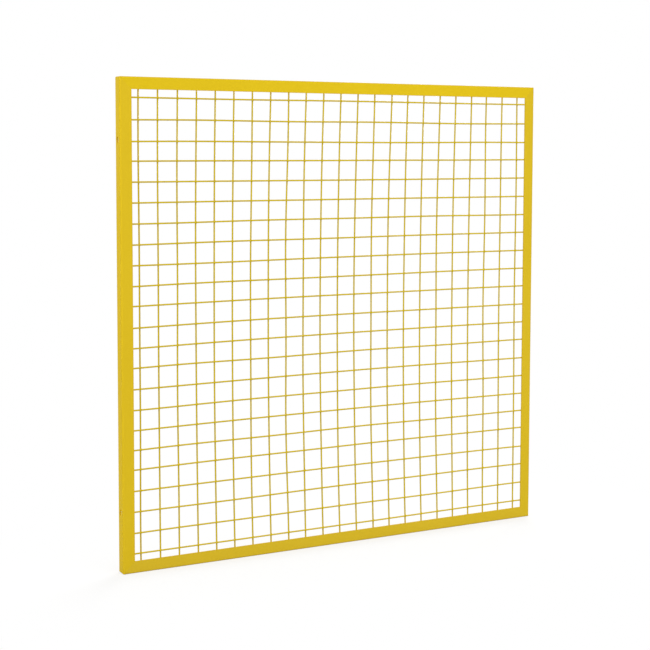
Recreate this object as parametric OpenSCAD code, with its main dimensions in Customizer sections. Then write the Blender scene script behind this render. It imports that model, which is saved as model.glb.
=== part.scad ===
/* [Panel] */
// Width over the outer faces of the two stiles
panel_w = 1200; // [600:10:2000]
// Height over the outer faces of the two rails
panel_h = 1200; // [600:10:2200]

/* [Angle steel] */
// Width of the flange that faces the front
flange_w = 30; // [25:1:50]
// Depth of the leg that points to the back
leg_d = 30; // [25:1:50]
// Thickness of the steel
steel_t = 3; // [2:0.5:5]
// Radius inside the bend between flange and leg
bend_r = 1; // [0.5:0.5:4]
// Radius on the long free edges of flange and leg
edge_r = 0.8; // [0.3:0.1:0.9]
// Radius to which the outer corners of the frame are ground
corner_r = 3; // [1:0.5:3]

/* [Welded mesh] */
// Diameter of the wires
wire_d = 3.5; // [2:0.5:5]
// Distance from one wire to the next
pitch = 50; // [25:5:60]
// Depth to which crossing wires melt into each other
weld_sink = 0.4; // [0.2:0.1:0.6]
// Least gap between the flange and the first wire
edge_gap = 10; // [10:1:20]
// Sideways offset of the wires from the middle of the frame
mesh_shift = -2; // [-8:1:8]
// Clearance between the ends of the wires and the bend of the angle
end_gap = 3; // [2:1:8]

/* [Weld tacks] */
// Diameter of the tacks that hold the wires on the flanges
tack_d = 6; // [5:0.5:8]
// Distance from the end of a wire to the middle of its tack
tack_inset = 8; // [6:1:10]

/* [Corner welds] */
// Radius of the beads behind the mitred corners
bead_r = 3; // [2:0.5:4]

/* [Mounting slots] */
// Width of a slot
slot_w = 9; // [6.5:0.5:13]
// Length of a slot, end to end
slot_len = 16; // [14:1:25]
// Distance from the top or bottom edge of the panel to the middle of a slot
slot_inset = 150; // [60:5:250]
// Distance from the front of the flange to the middle of a slot
slot_line = 17; // [15:0.5:18]

/* [Hidden] */
yellow = "#e0bc26";
bend_out = bend_r + steel_t;              // radius outside the bend
open_w = panel_w - 2 * flange_w;          // clear opening between the flanges
open_h = panel_h - 2 * flange_w;
upright_count = floor((open_w - 2 * edge_gap) / pitch) + 1;
cross_count = floor((open_h - 2 * edge_gap) / pitch) + 1;
sheet_inset = bend_out + end_gap;         // from the outer face of the frame to the wire ends
cross_y = steel_t + wire_d / 2;           // depth of the cross wires, flat on the flange
upright_y = cross_y + wire_d - weld_sink; // depth of the upright wires behind them
wire_sides = 8;
bands = 3;                                // the sheet is one weldment, held as three bands
over = 1;                                 // how far a cutter reaches past what it cuts
round_fn = 48;

function wire_at(i, count, size, shift = 0) = size / 2 + shift + (i - (count - 1) / 2) * pitch;
function band_row(b) = floor(b * cross_count / bands);
function band_z(b) = b == 0 ? sheet_inset
                   : b == bands ? panel_h - sheet_inset
                   : (wire_at(band_row(b) - 1, cross_count, panel_h) + wire_at(band_row(b), cross_count, panel_h)) / 2;

// The frame's lower left front corner, moved so that the slot line at half height is the origin
module placed() translate([0, -slot_line, -panel_h / 2]) children();

// Flat strip of the section along X, from the bend to its rounded free edge
module strip(len) {
    square([len - edge_r, steel_t]);
    translate([0, edge_r]) square([len, steel_t - 2 * edge_r]);
    for (y = [edge_r, steel_t - edge_r]) translate([len - edge_r, y]) circle(r = edge_r, $fn = round_fn);
}

// Bent section: the flange runs along X, the leg along Y
module section() {
    difference() {
        union() {
            strip(flange_w);
            mirror([1, -1, 0]) strip(leg_d);
            square(bend_out);
        }
        translate([bend_out, bend_out]) circle(r = bend_r, $fn = round_fn);
        difference() {
            translate([-over, -over]) square(bend_out + over);
            translate([bend_out, bend_out]) circle(r = bend_out, $fn = round_fn);
        }
    }
}

// What is ground off a corner that points to -X and -Y
module corner_waste() {
    difference() {
        translate([-over, -over]) square(corner_r + over);
        translate([corner_r, corner_r]) circle(r = corner_r, $fn = round_fn);
    }
}

// One side of the frame, standing on the origin, mitred at both ends in the X-Z plane
module mitred_bar(len) {
    reach = flange_w + over;
    intersection() {
        linear_extrude(height = len) section();
        translate([0, leg_d + over, 0]) rotate([90, 0, 0]) linear_extrude(height = leg_d + 2 * over) difference() {
            polygon([[-over, -over], [reach, reach], [reach, len - reach], [-over, len + over]]);
            corner_waste();
            translate([0, len]) mirror([0, 1]) corner_waste();
        }
    }
}

// Oblong hole through the leg of a stile, lengthwise along Z
module slot() {
    half = (slot_len - slot_w) / 2;
    translate([-over, slot_line, 0]) rotate([0, 90, 0]) linear_extrude(height = steel_t + 2 * over) {
        for (end = [-half, half]) translate([end, 0]) circle(d = slot_w, $fn = round_fn);
        square([2 * half, slot_w], center = true);
    }
}

module stile() {
    difference() {
        mitred_bar(panel_h);
        for (z = [slot_inset, panel_h - slot_inset]) translate([0, 0, z]) slot();
    }
}

module left_stile() color(yellow) placed() stile();

module right_stile() color(yellow) placed() translate([panel_w, 0, panel_h]) rotate([0, 180, 0]) stile();

module top_rail() color(yellow) placed() translate([0, 0, panel_h]) rotate([0, 90, 0]) mitred_bar(panel_w);

module bottom_rail() color(yellow) placed() translate([panel_w, 0, 0]) rotate([0, -90, 0]) mitred_bar(panel_w);

// Wire along Z with a flat side to the front and to the back
module wire(len) rotate([0, 0, 180 / wire_sides])
    cylinder(d = wire_d / cos(180 / wire_sides), h = len, $fn = wire_sides);

// Tack between the back of a flange and the middle of a wire at depth y
module tack(y) translate([0, steel_t, 0]) rotate([-90, 0, 0]) rotate([0, 0, 180 / wire_sides])
    cylinder(d = tack_d, h = y - steel_t, $fn = wire_sides);

// A band of the mesh: whole cross wires, and the lengths of the upright wires that lie in the band
module mesh_band(b) {
    low = band_z(b);
    high = band_z(b + 1);
    for (i = [band_row(b) : band_row(b + 1) - 1]) {
        z = wire_at(i, cross_count, panel_h);
        translate([sheet_inset, cross_y, z]) rotate([0, 90, 0]) wire(panel_w - 2 * sheet_inset);
        for (x = [sheet_inset + tack_inset, panel_w - sheet_inset - tack_inset])
            translate([x, 0, z]) tack(cross_y);
    }
    for (i = [0 : upright_count - 1]) {
        x = wire_at(i, upright_count, panel_w, mesh_shift);
        translate([x, upright_y, low]) wire(high - low);
        if (b == 0) translate([x, 0, low + tack_inset]) tack(upright_y);
        if (b == bands - 1) translate([x, 0, high - tack_inset]) tack(upright_y);
    }
}

module mesh_bottom() color(yellow) placed() mesh_band(0);

module mesh_middle() color(yellow) placed() mesh_band(1);

module mesh_top() color(yellow) placed() mesh_band(2);

// Bead in the lower left corner: along the mitre behind the flange, then back between the legs
module corner_bead() {
    difference() {
        intersection() {
            translate([steel_t, steel_t, steel_t]) {
                rotate([0, 45, 0]) cylinder(r = bead_r, h = (flange_w - steel_t) * sqrt(2), $fn = round_fn);
                rotate([-90, 0, 0]) cylinder(r = bead_r, h = leg_d - steel_t, $fn = round_fn);
            }
            translate([steel_t, steel_t, steel_t]) cube([flange_w, leg_d, flange_w]);
        }
        mitred_bar(panel_h);
        translate([panel_w, 0, 0]) rotate([0, -90, 0]) mitred_bar(panel_w);
    }
}

module weld_bottom_left() color(yellow) placed() corner_bead();

module weld_top_left() color(yellow) placed() translate([0, 0, panel_h]) rotate([0, 90, 0]) corner_bead();

module weld_top_right() color(yellow) placed() translate([panel_w, 0, panel_h]) rotate([0, 180, 0]) corner_bead();

module weld_bottom_right() color(yellow) placed() translate([panel_w, 0, 0]) rotate([0, -90, 0]) corner_bead();

left_stile();
right_stile();
top_rail();
bottom_rail();
mesh_bottom();
mesh_middle();
mesh_top();
weld_top_left();
weld_top_right();
weld_bottom_left();
weld_bottom_right();
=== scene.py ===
import bpy
import math
import numpy as np
from mathutils import Matrix, Vector


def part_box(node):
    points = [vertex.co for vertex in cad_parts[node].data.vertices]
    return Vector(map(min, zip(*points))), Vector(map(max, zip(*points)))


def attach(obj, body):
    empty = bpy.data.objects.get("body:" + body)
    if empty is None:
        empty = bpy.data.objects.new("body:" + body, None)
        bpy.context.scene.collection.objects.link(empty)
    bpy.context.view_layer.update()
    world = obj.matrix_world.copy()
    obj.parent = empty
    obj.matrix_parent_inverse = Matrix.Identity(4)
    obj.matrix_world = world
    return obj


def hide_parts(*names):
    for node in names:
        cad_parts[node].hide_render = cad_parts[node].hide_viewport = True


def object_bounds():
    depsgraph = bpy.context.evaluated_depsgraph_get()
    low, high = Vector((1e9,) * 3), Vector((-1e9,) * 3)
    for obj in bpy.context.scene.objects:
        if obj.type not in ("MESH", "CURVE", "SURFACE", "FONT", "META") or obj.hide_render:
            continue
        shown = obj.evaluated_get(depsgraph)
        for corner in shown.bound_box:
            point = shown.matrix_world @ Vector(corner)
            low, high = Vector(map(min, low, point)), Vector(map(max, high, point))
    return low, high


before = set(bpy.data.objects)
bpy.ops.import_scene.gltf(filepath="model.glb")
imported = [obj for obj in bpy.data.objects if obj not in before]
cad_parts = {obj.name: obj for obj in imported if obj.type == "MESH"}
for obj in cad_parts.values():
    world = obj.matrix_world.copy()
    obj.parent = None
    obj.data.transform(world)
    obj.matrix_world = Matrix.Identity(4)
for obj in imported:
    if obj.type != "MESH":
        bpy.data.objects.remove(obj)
cadLow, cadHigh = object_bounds()
mm = 0.001

# The panel's own measures, in metres; all but the thickness are read from the frame
stileLow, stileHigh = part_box("left_stile")
panel = {
    "left": cadLow.x, "right": cadHigh.x,
    "bottom": cadLow.z, "top": cadHigh.z,
    "front": cadLow.y, "back": cadHigh.y,
    "flange": stileHigh.x - stileLow.x,     # width of the flange round the opening
    "steel": 3 * mm,                        # thickness of the angle
}
panel["midX"] = (panel["left"] + panel["right"]) / 2
panel["midZ"] = (panel["bottom"] + panel["top"]) / 2
panel["flangeBack"] = panel["front"] + panel["steel"]
print("frame loaded, panel", [round(v, 4) for v in (*cadLow, *cadHigh)])


# Where the camera stands, in metres, and how it looks
cameraView = {
    "place": (-1.1363, -3.2076, 0.4276),
    "yaw": 27.849, "pitch": -4.062, "roll": 0.128,   # degrees: turned to +X, tipped down, rolled
    "lens": 78.22, "sensor": 36.0,                   # millimetres
    "shiftY": -0.1154,                               # framing only, the panel hangs low in the view
    "near": 0.05, "far": 100,
}


# The camera's axes follow from its yaw and pitch, and are then rolled about the line of sight
def makeCamera(view):
    yaw, pitch, roll = (math.radians(view[k]) for k in ("yaw", "pitch", "roll"))
    ahead = Vector((math.sin(yaw) * math.cos(pitch), math.cos(yaw) * math.cos(pitch), math.sin(pitch)))
    level = Vector((math.cos(yaw), -math.sin(yaw), 0))
    up = level.cross(ahead)
    side = math.cos(roll) * level + math.sin(roll) * up
    top = math.cos(roll) * up - math.sin(roll) * level
    data = bpy.data.cameras.new("camera")
    data.lens, data.sensor_width = view["lens"], view["sensor"]
    data.shift_y = view["shiftY"]
    data.clip_start, data.clip_end = view["near"], view["far"]
    obj = bpy.data.objects.new("camera", data)
    facing = Matrix((side, top, -ahead)).transposed().to_4x4()
    obj.matrix_world = Matrix.Translation(view["place"]) @ facing
    bpy.context.scene.collection.objects.link(obj)
    bpy.context.scene.camera = obj


makeCamera(cameraView)
bpy.context.scene.view_settings.view_transform = "Standard"
print("camera placed")


# Shader maths: a Value is a socket that can stand in a Python sum
class Value:
    def __init__(self, graph, socket):
        self.graph, self.socket = graph, socket

    # one Math node on this value and the others, in that order
    def work(self, operation, *others):
        terms = dict(enumerate((self, *others)))
        return self.graph.node("ShaderNodeMath", {"operation": operation}, terms)

    # the same with this value second
    def flipped(self, operation, other):
        return self.graph.node("ShaderNodeMath", {"operation": operation}, {0: other, 1: self})

    def __add__(self, other):
        return self.work("ADD", other)

    def __sub__(self, other):
        return self.work("SUBTRACT", other)

    def __rsub__(self, other):
        return self.flipped("SUBTRACT", other)

    def __mul__(self, other):
        return self.work("MULTIPLY", other)

    def __pow__(self, other):
        return self.work("POWER", other)

    def __abs__(self):
        return self.work("ABSOLUTE")

    def least(self, other):
        return self.work("MINIMUM", other)

    def most(self, other):
        return self.work("MAXIMUM", other)

    # sums and products read the same from either side
    __radd__, __rmul__ = __add__, __mul__


# The nodes of one material or of the world
class Graph:
    def __init__(self, tree):
        self.tree = tree
        tree.nodes.clear()

    # the one way to add a node: its type, its settings, then values or links for its sockets
    def node(self, kind, settings=None, sockets=None, out=0):
        made = self.tree.nodes.new(kind)
        for key, value in (settings or {}).items():
            setattr(made, key, value)
        for key, value in (sockets or {}).items():
            if isinstance(value, Value):
                self.tree.links.new(value.socket, made.inputs[key])
            else:
                made.inputs[key].default_value = value
        return Value(self, made.outputs[out]) if made.outputs else None

    # object coordinates, whole and as their three parts
    def axes(self):
        where = self.node("ShaderNodeTexCoord", out="Object")
        parts = self.node("ShaderNodeSeparateXYZ", None, {0: where})
        return where, *(Value(self, parts.socket.node.outputs[i]) for i in range(3))

    # soft noise from 0 to 1: waves per metre, how many finer layers it has and how strong those are
    def noise(self, where, scale, detail, roughness):
        return self.node("ShaderNodeTexNoise", None,
                         {"Vector": where, "Scale": scale, "Detail": detail, "Roughness": roughness})

    # 0 below start, 1 above end, smooth between
    def step(self, value, start, end):
        return self.node("ShaderNodeMapRange", {"interpolation_type": "SMOOTHSTEP"},
                         {"Value": value, "From Min": start, "From Max": end})

    # the first colour where the factor is 0, the second where it is 1
    def mix(self, factor, first, second):
        return self.node("ShaderNodeMix", {"data_type": "RGBA"},
                         {"Factor": factor, 6: first, 7: second}, out=2)

    # 1 for what is seen straight, in a reflection or through glass, 0 for light on its way to a surface
    def seen(self):
        camera = self.node("ShaderNodeLightPath", out="Is Camera Ray")
        rays = camera.socket.node.outputs
        return camera.most(Value(self, rays["Is Glossy Ray"])).most(Value(self, rays["Is Transmission Ray"]))


# Powder coat; a noise is given by its waves per metre, its finer layers and their strength
coat = {
    "colour": (0.755, 0.525, 0.016),        # traffic yellow
    "thin": (0.700, 0.475, 0.012),          # where the coat is a little thinner
    "thick": (0.800, 0.570, 0.024),         # where it has flowed together
    "share": 0.55,                          # the most that either of them takes over
    "broad": (2.6, 3.0, 0.5),               # slow change of shade along the panel
    "cloud": (34.0, 3.0, 0.6),              # patches of a few centimetres
    "peel": (420.0, 2.0, 0.45),             # orange peel
    "grit": (900.0, 1.0, 0.5),              # the powder's own grain
    "thinParts": (0.60, 0.40),              # shares of broad and cloud in what makes it thin
    "thinRange": (0.42, 0.72),              # where their sum begins to show, and shows in full
    "thickParts": (0.45, 0.40, 0.15),       # shares of cloud, peel and grit in what makes it flow together
    "thickRange": (0.46, 0.70),
    "roughness": 0.40,
    "patchy": 0.16, "gritty": 0.05,         # how far cloud and grit move the roughness
    "gloss": 0.02,                          # specular level of a nearly matt coat
    "weldShine": 0.05,                      # how much less rough the welds are
    "peelHeight": 0.20 * mm, "peelStrength": 0.8,
}
# How much of the coat's red, green and blue each member shows, as painted light and shade: the top rail
# lighter, the right stile and bottom rail darker as the light falls on them, each member's blue set to its
# lit look; the wires are a little darker
litAndShadedTints = {
    "left_stile": (1.02, 1.02, 1.06), "right_stile": (0.97, 0.98, 1.27),
    "top_rail": (1.04, 1.05, 0.75), "bottom_rail": (0.99, 1.00, 1.65),
    # painted shade: cross wires and uprights darker than the frame for the shade on their round sides, the
    # uprights most; the welds a little darker
    "cross": (0.90, 0.965, 0.75), "upright": (0.85, 0.915, 0.75), "weld": (0.95, 0.96, 0.75),
}
# What the coat shows of the work on the frame under it
frameFinish = {
    "strip": (3.5 * mm, 7 * mm),            # a ground strip over a mitre: half widths where it fades
    "stripRagged": 6 * mm,                  # how far its edges wander
    "stripEnd": 4 * mm,                     # how far it runs out past the corner
    "flatter": 0.7, "duller": 0.05,         # share of the peel that it loses, and roughness that it gains
    "scratch": (1.0, 3.0, 0.6),             # noise of the grinding marks, stretched and turned
    "scratchScale": (260, 260, 2600), "scratchTurn": 35,    # waves per metre, and degrees about Y
    "scratchHeight": 0.35,                  # as a share of the peel's
    "seam": (0.2 * mm, 1.1 * mm),           # the fine groove along a mitre: half widths where it closes
    "seamRagged": 0.6 * mm, "seamDepth": 0.9,
    "rim": (0.76 * mm, 1.9 * mm),           # thin coat along a free edge: distances where it fades
}


# Ground strip, seam and rim of the frame, each 0 to 1: a point is on a mitre where it is as far from the
# nearest side as from the nearest end; the free edges are the flange's round the opening and the leg's behind
def frameMarks(graph, x, y, z, cloud, grit):
    fromSide = panel["midX"] - panel["left"] - abs(x - panel["midX"])
    fromEnd = panel["midZ"] - panel["bottom"] - abs(z - panel["midZ"])
    offMitre = abs(fromSide - fromEnd)
    flange = panel["flange"]
    inCorner = 1 - graph.step(fromSide.most(fromEnd), flange, flange + frameFinish["stripEnd"])
    offStrip = offMitre + (cloud - 0.5) * frameFinish["stripRagged"]
    offSeam = offMitre + (grit - 0.5) * frameFinish["seamRagged"]
    toEdge = abs(fromSide.least(fromEnd) - flange).least(panel["back"] - y)
    strip = (1 - graph.step(offStrip, *frameFinish["strip"])) * inCorner
    seam = (1 - graph.step(offSeam, *frameFinish["seam"])) * inCorner
    rim = 1 - graph.step(toEdge, *frameFinish["rim"])
    return strip, seam, rim


# Sum of each value times its share
def blend(shares, *values):
    parts = [value * share for value, share in zip(values, shares)]
    return sum(parts[1:], parts[0])


# Noises of four sizes mix the thinner and the thicker shade into the yellow, and the peel raises the surface;
# on the frame the mitres are ground flatter and the free edges carry a little less coat
def powderCoat(member, shiny=0.0, framed=False):
    material = bpy.data.materials.new("powderCoat_" + member)
    material.use_nodes = True
    graph = Graph(material.node_tree)
    where, x, y, z = graph.axes()
    broad, cloud, peel, grit = (graph.noise(where, *coat[k]) for k in ("broad", "cloud", "peel", "grit"))
    # each member's colours scaled by its tint of painted light and shade
    shade, thin, thick = ((*(c * t for c, t in zip(coat[k], litAndShadedTints[member])), 1)
                          for k in ("colour", "thin", "thick"))
    thinness = graph.step(blend(coat["thinParts"], broad, cloud), *coat["thinRange"]) * coat["share"]
    flow = graph.step(blend(coat["thickParts"], cloud, peel, grit), *coat["thickRange"]) * coat["share"]
    height = peel
    rough = coat["roughness"] - shiny + (cloud - 0.5) * coat["patchy"] + (grit - 0.5) * coat["gritty"]
    if framed:
        strip, seam, rim = frameMarks(graph, x, y, z, cloud, grit)
        stretched = graph.node("ShaderNodeMapping", None, {
            "Vector": where, "Rotation": (0, math.radians(frameFinish["scratchTurn"]), 0),
            "Scale": frameFinish["scratchScale"]})
        scratch = graph.noise(stretched, *frameFinish["scratch"])
        marks = scratch * strip * frameFinish["scratchHeight"]
        height = peel * (1 - strip * frameFinish["flatter"]) + marks - seam * frameFinish["seamDepth"]
        rough = rough + strip * frameFinish["duller"]
        thinness, flow = thinness.most(rim), flow * (1 - rim)
    colour = graph.mix(flow, graph.mix(thinness, shade, thin), thick)
    normal = graph.node("ShaderNodeBump", None, {
        "Strength": coat["peelStrength"], "Distance": coat["peelHeight"], "Height": height})
    shader = graph.node("ShaderNodeBsdfPrincipled", None, {
        "Base Color": colour, "Roughness": rough, "Normal": normal,
        "Metallic": 0.0, "IOR": 1.5, "Specular IOR Level": coat["gloss"]})
    graph.node("ShaderNodeOutputMaterial", None, {"Surface": shader})
    return material


# one copy of the coat for each member, made lighter or darker by its painted light and shade tint
for member in ("left_stile", "right_stile", "top_rail", "bottom_rail"):
    memberCoat = powderCoat(member, framed=True)
    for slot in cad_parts[member].material_slots:
        slot.material = memberCoat
# wire coats carry painted shade through their darker tints
crossCoat = powderCoat("cross")
uprightCoat = powderCoat("upright")
weldCoat = powderCoat("weld", shiny=coat["weldShine"])
print("frame coated")


# Faces of count tubes, each a grid of rings x sides points closed round its sides, with a face at each end
def gridFaces(count, rings, sides):
    tube, ring, side = np.meshgrid(np.arange(count), np.arange(rings - 1), np.arange(sides), indexing="ij")
    start = (tube * rings + ring) * sides
    here, over = start + side, start + (side + 1) % sides
    quads = np.stack([here, over, over + sides, here + sides], -1).reshape(-1, 4).tolist()
    first = np.arange(count)[:, None] * rings * sides + np.arange(sides)
    ends = np.concatenate([first[:, ::-1], first + (rings - 1) * sides]).tolist()
    return quads, ends


# A mesh with smooth sides and flat ends that rides on the panel and stands for the named CAD nodes
def makePiece(name, points, quads, ends, material, *nodes):
    mesh = bpy.data.meshes.new(name)
    mesh.from_pydata(np.asarray(points, float).reshape(-1, 3).tolist(), [], quads + ends)
    smooth = np.ones(len(mesh.polygons), bool)
    smooth[len(quads):] = False
    mesh.polygons.foreach_set("use_smooth", smooth)
    mesh.materials.append(material)
    mesh.update()
    obj = bpy.data.objects.new(name, mesh)
    bpy.context.scene.collection.objects.link(obj)
    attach(obj, "root")
    if nodes:
        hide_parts(*nodes)


# The welded sheet of wires
sheet = {
    "wire": 4.0 * mm,           # wire diameter with its coat
    "pitch": 50 * mm,
    "count": 23,                # wires each way
    "sunk": 0.4 * mm,           # how far crossing wires melt into each other
    "shift": -0.4 * mm,         # uprights' offset from the middle
    "tilt": 2.2 * mm,           # how much higher the cross wires sit at the right than at the left
    "inset": 7 * mm,            # wire ends from the outer faces of the frame
    "bow": 17.9 * mm,           # how far the sheet bellies back at the middle
    "seed": 11,
    "spread": 0.3 * mm,         # usual error of a wire's place
    "waves": 3,                 # waves added up along a wire
    "wave": 0.35 * mm,          # usual swing of one of them
    "slow": 4.1,                # radians per metre of the slowest
    "sides": 10,
    "step": 10 * mm,            # length of a facet along a wire
    "endSteps": (0.0, 0.12, 0.45), "endShares": (0.80, 0.93, 1.0),  # mm from a cut end, share of the radius
}
sheet["crossY"] = panel["flangeBack"] + sheet["wire"] / 2            # cross wires lie flat on the flange
sheet["uprightY"] = sheet["crossY"] + sheet["wire"] - sheet["sunk"]  # uprights are welded on behind them
# cross wires that sit well off their place: number from the bottom, and mm too high
strayRows = {0: -2.5, 1: -2.0, 3: 1.0, 4: 4.0, 5: 1.5, 9: 1.5, 12: 1.5, 20: -3.0, 21: -1.5, 22: 1.5}

rng = np.random.default_rng(sheet["seed"])
rowPlace, columnPlace = rng.normal(0, sheet["spread"], (2, sheet["count"]))
for row, stray in strayRows.items():
    rowPlace[row] = stray * mm
rowPhase, columnPhase = rng.uniform(0, 2 * math.pi, (2, sheet["waves"], sheet["count"]))
rowSwing, columnSwing = rng.normal(0, sheet["wave"], (2, sheet["waves"], sheet["count"]))
wires = np.arange(sheet["count"])
# half the opening between the flanges, across and up
halfW = (panel["right"] - panel["left"]) / 2 - panel["flange"]
halfH = (panel["top"] - panel["bottom"]) / 2 - panel["flange"]


# Depth of the belly: a parabola across times a parabola up, nothing on the flanges
def bowAt(x, z):
    aside = np.clip((x - panel["midX"]) / halfW, -1, 1)
    above = np.clip((z - panel["midZ"]) / halfH, -1, 1)
    return sheet["bow"] * (1 - aside ** 2) * (1 - above ** 2)


# Sum of slow sines along a wire, each quicker than the last, with its own swing and phase
def wavy(swing, phase, wire, along):
    return sum(swing[k, wire] * np.sin(along * (k + 1) * sheet["slow"] + phase[k, wire])
               for k in range(sheet["waves"]))


# A cross wire's height: its row, its own error, the tilt of the sheet and its waves
def crossZ(row, x):
    level = panel["midZ"] + (row - (sheet["count"] - 1) / 2) * sheet["pitch"]
    tilted = sheet["tilt"] * (x - panel["midX"]) / (2 * halfW)
    return level + rowPlace[row] + tilted + wavy(rowSwing, rowPhase, row, x)


# An upright's place across: its column, its own error and its waves
def uprightX(column, z):
    line = panel["midX"] + sheet["shift"] + (column - (sheet["count"] - 1) / 2) * sheet["pitch"]
    return line + columnPlace[column] + wavy(columnSwing, columnPhase, column, z)


# Stations along a wire, with its cut ends rounded off over the last half millimetre, and the radius there
def wireEnds(low, high):
    body = np.linspace(low, high, int(round((high - low) / sheet["step"])) + 1)
    near, shares = np.array(sheet["endSteps"]) * mm, np.array(sheet["endShares"])
    along = np.concatenate([low + near, body[1:-1], high - near[::-1]])
    radius = np.concatenate([shares, np.ones(len(body) - 2), shares[::-1]]) * sheet["wire"] / 2
    return along, radius


turn = (np.arange(sheet["sides"]) + 0.5) * 2 * math.pi / sheet["sides"]

# Cross wires: circles in planes across X, carried along X
along, radius = wireEnds(panel["left"] + sheet["inset"], panel["right"] - sheet["inset"])
zMid = crossZ(wires[:, None], along)
yMid = sheet["crossY"] + bowAt(along, zMid)
points = np.stack(np.broadcast_arrays(
    along[:, None],
    yMid[..., None] - radius[:, None] * np.cos(turn),
    zMid[..., None] - radius[:, None] * np.sin(turn)), -1)
makePiece("cross_wires", points, *gridFaces(sheet["count"], len(along), sheet["sides"]), crossCoat,
          "mesh_bottom", "mesh_middle", "mesh_top")

# Uprights: circles in level planes, carried along Z
along, radius = wireEnds(panel["bottom"] + sheet["inset"], panel["top"] - sheet["inset"])
xMid = uprightX(wires[:, None], along)
yMid = sheet["uprightY"] + bowAt(xMid, along)
points = np.stack(np.broadcast_arrays(
    xMid[..., None] + radius[:, None] * np.cos(turn),
    yMid[..., None] + radius[:, None] * np.sin(turn),
    along[:, None]), -1)
makePiece("upright_wires", points, *gridFaces(sheet["count"], len(along), sheet["sides"]), uprightCoat)
print("wires drawn")


# Spot welds where the wires cross
spot = {
    "reach": 3.4 * mm,          # radius in the plane of the sheet
    "uneven": 0.12,             # share by which it differs from weld to weld
    "deep": 1.9 * mm,           # radius through the sheet
    "pole": 1.25,               # radians up to the small flat at either pole
    "round": 8, "rings": 5,
    "tries": 3,                 # a crossing's place settles after a few turns of one wire against the other
}

columns, rows = (grid.ravel() for grid in np.meshgrid(wires, wires))
spotZ = 0
for _ in range(spot["tries"]):
    spotX = uprightX(columns, spotZ)
    spotZ = crossZ(rows, spotX)
spotY = (sheet["crossY"] + sheet["uprightY"]) / 2 + bowAt(spotX, spotZ)
# Flattened ball: circles of radius cos(rise) stacked in depth as sin(rise)
rise = np.linspace(-spot["pole"], spot["pole"], spot["rings"])[:, None]
circle = (np.arange(spot["round"]) + 0.5) * 2 * math.pi / spot["round"]
size = 1 + rng.uniform(-spot["uneven"], spot["uneven"], (len(spotX), 1, 1))
points = np.stack(np.broadcast_arrays(
    spotX[:, None, None] + size * spot["reach"] * np.cos(rise) * np.cos(circle),
    spotY[:, None, None] + spot["deep"] * np.sin(rise) + 0 * circle,
    spotZ[:, None, None] - size * spot["reach"] * np.cos(rise) * np.sin(circle)), -1)
makePiece("spot_welds", points, *gridFaces(len(spotX), spot["rings"], spot["round"]), weldCoat)
print("spot welds placed", len(spotX))


# Tacks that hold the wire ends on the flanges
tack = {
    "inset": 8 * mm,            # from a wire's end to the middle of its tack
    "half": 5.4 * mm,           # half length along the wire
    "width": 3.9 * mm,          # half width across it
    "cover": 0.70 * mm,         # weld metal over the wire
    "sunk": 0.4 * mm,           # weld metal in the flange
    "lobes": ((3, 0.07, 0), (5, 0.05, 1), (8, 0.025, 3)),   # how many round it, their swing and their twist
    "uneven": 0.07,             # share by which the size differs from tack to tack
    "lean": 0.9 * mm,           # how far the crown may sit off centre
    "full": 0.7,                # power of the sine that lifts it: less makes it fuller
    "dents": 4, "dent": 0.04,   # how many in its flanks, and their swing
    "top": 1.42,                # radians up to the small flat on top
    "round": 18, "rings": 7,
}

fromEnd = sheet["inset"] + tack["inset"]
nearLeft, nearRight = panel["left"] + fromEnd, panel["right"] - fromEnd
nearLow, nearTop = panel["bottom"] + fromEnd, panel["top"] - fromEnd
tackX = np.concatenate([np.full(sheet["count"], nearLeft), np.full(sheet["count"], nearRight),
                        uprightX(wires, nearLow), uprightX(wires, nearTop)])
tackZ = np.concatenate([crossZ(wires, nearLeft), crossZ(wires, nearRight),
                        np.full(sheet["count"], nearLow), np.full(sheet["count"], nearTop)])
onCross = np.repeat([True, False], 2 * sheet["count"])[:, None, None]
tackTop = np.where(onCross, sheet["crossY"], sheet["uprightY"]) + sheet["wire"] / 2 + tack["cover"]
tackFoot = panel["flangeBack"] - tack["sunk"]
# Lumpy ridge: ellipses, long along the wire, that shrink as the cosine of the rise and lift as a power of
# its sine; their edge swings in and out with the lobes, which twist on the way up, and their lift with dents
rise = np.linspace(0, tack["top"], tack["rings"])[:, None]
circle = np.arange(tack["round"]) * 2 * math.pi / tack["round"]
phase = rng.uniform(0, 2 * math.pi, (len(tack["lobes"]) + 1, len(tackX), 1, 1))
edge = 1 + tack["uneven"] * np.sin(phase[-1])
for (lobes, swing, twist), start in zip(tack["lobes"], phase):
    edge = edge + swing * np.sin(lobes * circle + start + twist * rise)
longWay, crossWay = (tack[k] * edge * np.cos(rise) for k in ("half", "width"))
lean = rng.uniform(-tack["lean"], tack["lean"], (2, len(tackX), 1, 1)) * np.sin(rise)
dents = tack["dent"] * np.sin(tack["dents"] * circle + phase[1]) * np.cos(rise)
lift = np.sin(rise) ** tack["full"] * (1 + dents)
points = np.stack(np.broadcast_arrays(
    tackX[:, None, None] + lean[0] + np.where(onCross, longWay, crossWay) * np.cos(circle),
    tackFoot + (tackTop - tackFoot) * lift,
    tackZ[:, None, None] + lean[1] - np.where(onCross, crossWay, longWay) * np.sin(circle)), -1)
makePiece("wire_tacks", points, *gridFaces(len(tackX), tack["rings"], tack["round"]), weldCoat)
print("tacks placed", len(tackX))


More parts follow.
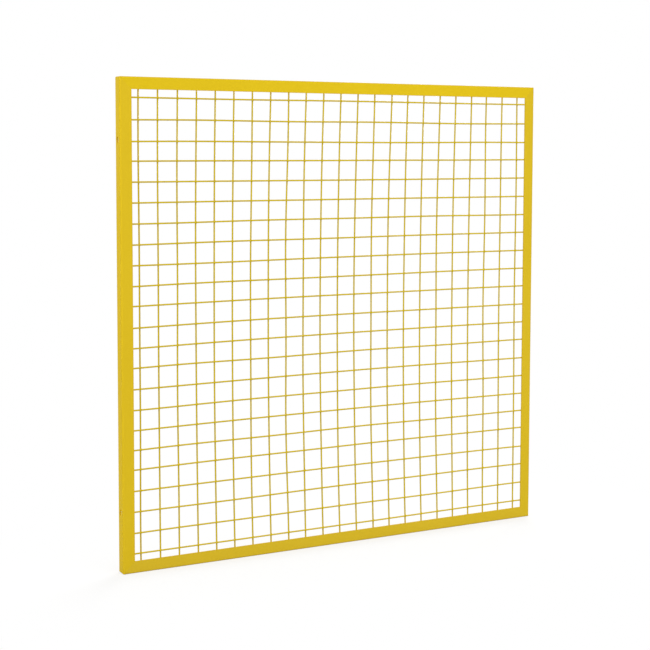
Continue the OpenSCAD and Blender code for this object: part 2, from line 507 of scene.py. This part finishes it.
# Weld beads behind the mitred corners
bead = {
    "width": 3.5 * mm,          # half width of the run behind the flange
    "height": 1.6 * mm,         # its height over the flange
    "bed": 0.1 * mm,            # how deep its middle line lies in the flange
    "leg": 2.6 * mm,            # half width of the run between the legs
    "root": 1.0 * mm,           # how deep both runs start in the steel of the corner
    "short": 1.0 * mm, "shortBack": 0.3 * mm,   # where they stop: before the opening, before the leg's edge
    "ripple": 1.6 * mm,         # from one ripple to the next
    "depth": 0.055,             # share of the bead that a ripple cuts away
    "deeper": (1.2, 0.8, 1500),     # mean and swing of that depth along the bead, and radians per metre
    "arch": 2.4 * mm,           # how far a ripple bows forward at the crown
    "travel": ((900, 0.35 * mm), (2100, 0.25 * mm)),   # uneven torch: radians per metre, and swing
    "wander": (350, 700, 1300), "wandering": 0.025,    # changes of size: radians per metre, usual swing
    "largest": 1.05,            # share of its width and height that it may reach
    "taper": 2.6 * mm, "blunt": 0.98,   # length over which it closes at both ends, and how far it closes
    "step": 0.25 * mm, "sides": 20,
    "seeds": {"bottom_left": 21, "bottom_right": 31, "top_left": 41, "top_right": 51},
}


# Oval tube along a line: half width and height fall in each ripple, wander a little, and close at both ends;
# a ripple lags by its arch times the sine of the angle round the bead, so it bows forward at the crown
def rippledBead(start, end, crown, width, height, seed):
    start, end, crown = np.array(start), np.array(end), np.array(crown) / np.linalg.norm(crown)
    length = np.linalg.norm(end - start)
    ahead = (end - start) / length
    across = np.cross(crown, ahead)
    own = np.random.default_rng(seed)
    along = np.linspace(0, length, int(length / bead["step"]))[:, None]
    angle = np.arange(bead["sides"]) * 2 * math.pi / bead["sides"]
    travel = along + sum(swing * np.sin(along * rate + own.uniform(0, 6)) for rate, swing in bead["travel"])
    phase = 2 * math.pi * (travel - bead["arch"] * np.sin(angle)) / bead["ripple"]
    mean, swing, rate = bead["deeper"]
    cut = bead["depth"] * (mean + swing * np.sin(along * rate + own.uniform(0, 6)))
    ripple = 1 - cut * np.sin(phase / 2) ** 2
    wander = 1 + sum(own.normal(0, bead["wandering"]) * np.sin(along * rate + own.uniform(0, 6))
                     for rate in bead["wander"])
    toEnd = np.clip(1 - np.minimum(along, length - along) / bead["taper"], 0, bead["blunt"])
    size = np.minimum(ripple * wander, bead["largest"]) * np.sqrt(1 - toEnd ** 2)
    return (start + along[..., None] * ahead + (width * size * np.cos(angle))[..., None] * across
            + (height * size * np.sin(angle))[..., None] * crown)


# One run behind the flange, out along the mitre to the opening, and one run back between the legs
def cornerBead(corner, seed):
    level, side = corner.split("_")
    toX = 1 if side == "left" else -1
    toZ = 1 if level == "bottom" else -1

    # the point of the mitre that lies so far in from both outer faces, at the depth y
    def onMitre(inward, y):
        return panel[side] + inward * toX, y, panel[level] + inward * toZ

    bedY, rootY = panel["flangeBack"] - bead["bed"], panel["flangeBack"] - bead["root"]
    behind = rippledBead(onMitre(panel["steel"] - bead["root"], bedY),
                         onMitre(panel["flange"] - bead["short"], bedY),
                         (0, 1, 0), bead["width"], bead["height"], seed)
    between = rippledBead(onMitre(panel["steel"], rootY),
                          onMitre(panel["steel"], panel["back"] - bead["shortBack"]),
                          (toX, 0, toZ), bead["leg"], bead["leg"], seed + 1)
    quads, ends = gridFaces(1, *behind.shape[:2])
    more, moreEnds = gridFaces(1, *between.shape[:2])
    past = behind.shape[0] * behind.shape[1]
    quads += (np.array(more) + past).tolist()
    ends += (np.array(moreEnds) + past).tolist()
    points = np.concatenate([behind.reshape(-1, 3), between.reshape(-1, 3)])
    makePiece("bead_" + corner, points, quads, ends, weldCoat, "weld_" + corner)


for corner, seed in bead["seeds"].items():
    cornerBead(corner, seed)
print("corner beads laid")


# Floor, world and lamps
studio = {
    "floorSize": 30.0,
    "floorGap": 0.2 * mm,       # between the floor and the panel
    "bounce": 0.45,             # share of light that the floor throws back at the panel
    "pale": 0.96,               # shade of the floor that takes the panel's shadow
    "blank": 0.75,              # share of plain white over that at the foot of the panel
    "blankRange": (0.02, 0.5),  # metres from the foot over which plain white takes over
    "world": 0.60,              # plain light from all round
    "lamps": {                  # square lamps: watts, place and side in metres
        "key": (12.2, (0.4, -1.9, 2.3), 1.6),
        "fill": (37.6, (1.5, -2.8, -0.1), 2.0),
        "side": (44.8, (-3.0, -0.8, 1.0), 2.0),
        "rear": (90.0, (2.9, 2.3, 1.3), 2.0),
    },
}
white = (1, 1, 1, 1)


# Pale floor: where it is seen it is near-white with the panel's soft shadow at its foot, and turns plain
# white further off; to the light it is grey
def makeFloor():
    half, level = studio["floorSize"] / 2, panel["bottom"] - studio["floorGap"]
    corners = [(x * half, y * half, level) for x, y in ((-1, -1), (1, -1), (1, 1), (-1, 1))]
    mesh = bpy.data.meshes.new("floor")
    mesh.from_pydata(corners, [], [(0, 1, 2, 3)])
    obj = bpy.data.objects.new("floor", mesh)
    bpy.context.scene.collection.objects.link(obj)
    material = bpy.data.materials.new("paleFloor")
    material.use_nodes = True
    graph = Graph(material.node_tree)
    seen = graph.seen()
    dim, pale = ((studio[k], studio[k], studio[k], 1) for k in ("bounce", "pale"))
    matt = graph.node("ShaderNodeBsdfDiffuse", None, {"Color": graph.mix(seen, dim, pale)})
    paper = graph.node("ShaderNodeEmission", None, {"Color": white, "Strength": 1.0})
    # how far a point of the floor is from the foot of the panel
    x, y = graph.axes()[1:3]
    aside = (abs(x - panel["midX"]) - (panel["right"] - panel["midX"])).most(0)
    away = (aside * aside + y * y) ** 0.5
    blank = graph.step(away, *studio["blankRange"]) * (1 - studio["blank"]) + studio["blank"]
    surface = graph.node("ShaderNodeMixShader", None, {0: blank * seen, 1: matt, 2: paper})
    graph.node("ShaderNodeOutputMaterial", None, {"Surface": surface})
    mesh.materials.append(material)


# Plain white where it is seen, soft light to everything else
def makeWorld():
    world = bpy.data.worlds.new("studio")
    world.use_nodes = True
    bpy.context.scene.world = world
    graph = Graph(world.node_tree)
    soft = graph.node("ShaderNodeBackground", None, {"Color": white, "Strength": studio["world"]})
    paper = graph.node("ShaderNodeBackground", None, {"Color": white, "Strength": 1.0})
    surface = graph.node("ShaderNodeMixShader", None, {0: graph.seen(), 1: soft, 2: paper})
    graph.node("ShaderNodeOutputWorld", None, {"Surface": surface})


# A square lamp that faces the middle of the panel
def makeLamp(name, power, place, side):
    data = bpy.data.lights.new(name, "AREA")
    data.energy, data.size = power, side
    obj = bpy.data.objects.new(name, data)
    aim = Vector((panel["midX"], 0, panel["midZ"])) - Vector(place)
    obj.matrix_world = Matrix.Translation(place) @ aim.to_track_quat("-Z", "Y").to_matrix().to_4x4()
    bpy.context.scene.collection.objects.link(obj)


makeFloor()
makeWorld()
for lamp, values in studio["lamps"].items():
    makeLamp(lamp, *values)
print("studio lit")
